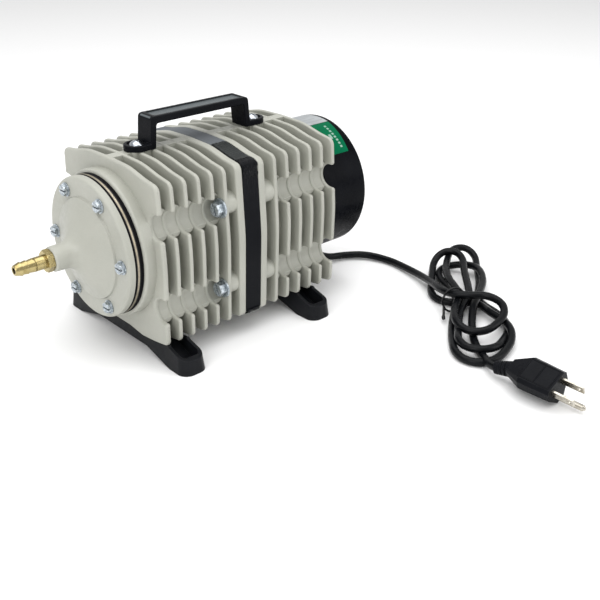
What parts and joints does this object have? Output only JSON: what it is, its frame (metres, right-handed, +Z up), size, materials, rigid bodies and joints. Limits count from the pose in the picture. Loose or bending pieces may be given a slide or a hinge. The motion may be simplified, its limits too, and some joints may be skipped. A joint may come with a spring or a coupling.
{
  "type": "linear-piston air pump",
  "caption": "Oil-free linear-piston air pump for ponds: finned die-cast body on rubber feet, carry handle, black motor cap, brass hose barb, and a tied mains cord with plug.",
  "frame": {"origin": "on the plane the feet stand on, under the middle of the pump's own length and width, the mains cord left out", "axes": "+X along the pump's axis from the outlet barb to the motor cap, +Y to the pump's left when looking along +X, +Z up"},
  "size_m": [0.4113, 0.3915, 0.1752],
  "materials": {
    "cast_grey": "satin light grey-beige paint on die-cast aluminium, slightly pebbled",
    "black_plastic": "satin black moulded plastic",
    "black_rubber": "matte black rubber",
    "gasket": "dark compressed gasket",
    "zinc_steel": "bright zinc plate, slightly bluish",
    "yellow_zinc": "golden passivated zinc plate on the edge",
    "brass": "machined brass",
    "spring_steel": "bright spring steel",
    "alloy": "machined, hard-anodised bore",
    "ring": "filled PTFE ring",
    "bronze": "sintered bronze bush",
    "laminate": "varnished electrical steel laminations",
    "bobbin": "natural moulded nylon",
    "winding": "enamelled copper wire",
    "lead": "white insulated lead",
    "felt": "pressed felt",
    "label_silver": null,
    "label_green": null,
    "foot_plastic": "dark grey-black moulded foot",
    "cord_black": "matte black PVC sheath",
    "tie": "black coated twist tie",
    "nickel": "nickel-plated brass"
  },
  "bodies": {
    "housing": {"outlet_barb": "brass", "cylinder_head_cover": "cast_grey", "cover_screws": "zinc_steel", "cover_gasket": "gasket", "valve_plate": "yellow_zinc", "outlet_reed_stop": "spring_steel", "head_gasket": "gasket", "front_casing": "cast_grey", "cylinder_liner": "alloy", "return_spring": "spring_steel", "guide_bush": "bronze", "field_core": "laminate", "coil_bobbins": "bobbin", "field_coils": "winding", "terminal_block": "bobbin", "coil_leads": "lead", "seal_band": "black_rubber", "rear_casing": "cast_grey", "casing_bolts": "zinc_steel", "casing_washers": "zinc_steel", "carry_handle": "black_plastic", "handle_screws": "zinc_steel", "front_foot": "foot_plastic", "rear_foot": "foot_plastic", "foot_screws": "zinc_steel", "motor_cap": "black_plastic", "cap_screws": "zinc_steel", "intake_filter": "felt", "rating_label": "label_silver", "side_label": "label_green", "cord_relief": "black_rubber", "power_cord": "cord_black", "cord_hank": "cord_black", "cord_tie": "tie", "cord_tail": "cord_black", "plug_body": "cord_black", "plug_blades": "nickel", "ground_pin": "nickel"},
    "piston": {"piston_head": "alloy", "piston_ring": "ring", "piston_nut": "zinc_steel", "inlet_reed_clamp": "spring_steel", "drive_rod": "spring_steel", "armature": "laminate", "spring_seat": "alloy"},
    "inlet_reed": {"inlet_reed": "spring_steel"},
    "outlet_reed": {"outlet_reed": "spring_steel"}
  },
  "joints": [
    {"name": "piston_stroke", "type": "slide", "parent": "housing", "child": "piston", "axis": [1, 0, 0], "range_m": [-0.006, 0.006], "stiffness_N_per_m": 3000, "deforming": ["return_spring"]},
    {"name": "inlet_reed_flex", "type": "hinge", "parent": "piston", "child": "inlet_reed", "pos_m": [-0.07005, 0, 0.093], "axis": [0, -1, 0], "range_deg": [0, 6], "stiffness_Nm_per_rad": 0.05},
    {"name": "outlet_reed_flex", "type": "hinge", "parent": "housing", "child": "outlet_reed", "pos_m": [-0.08355, 0, 0.077], "axis": [0, 1, 0], "range_deg": [0, 8], "stiffness_Nm_per_rad": 0.05}
  ]
}
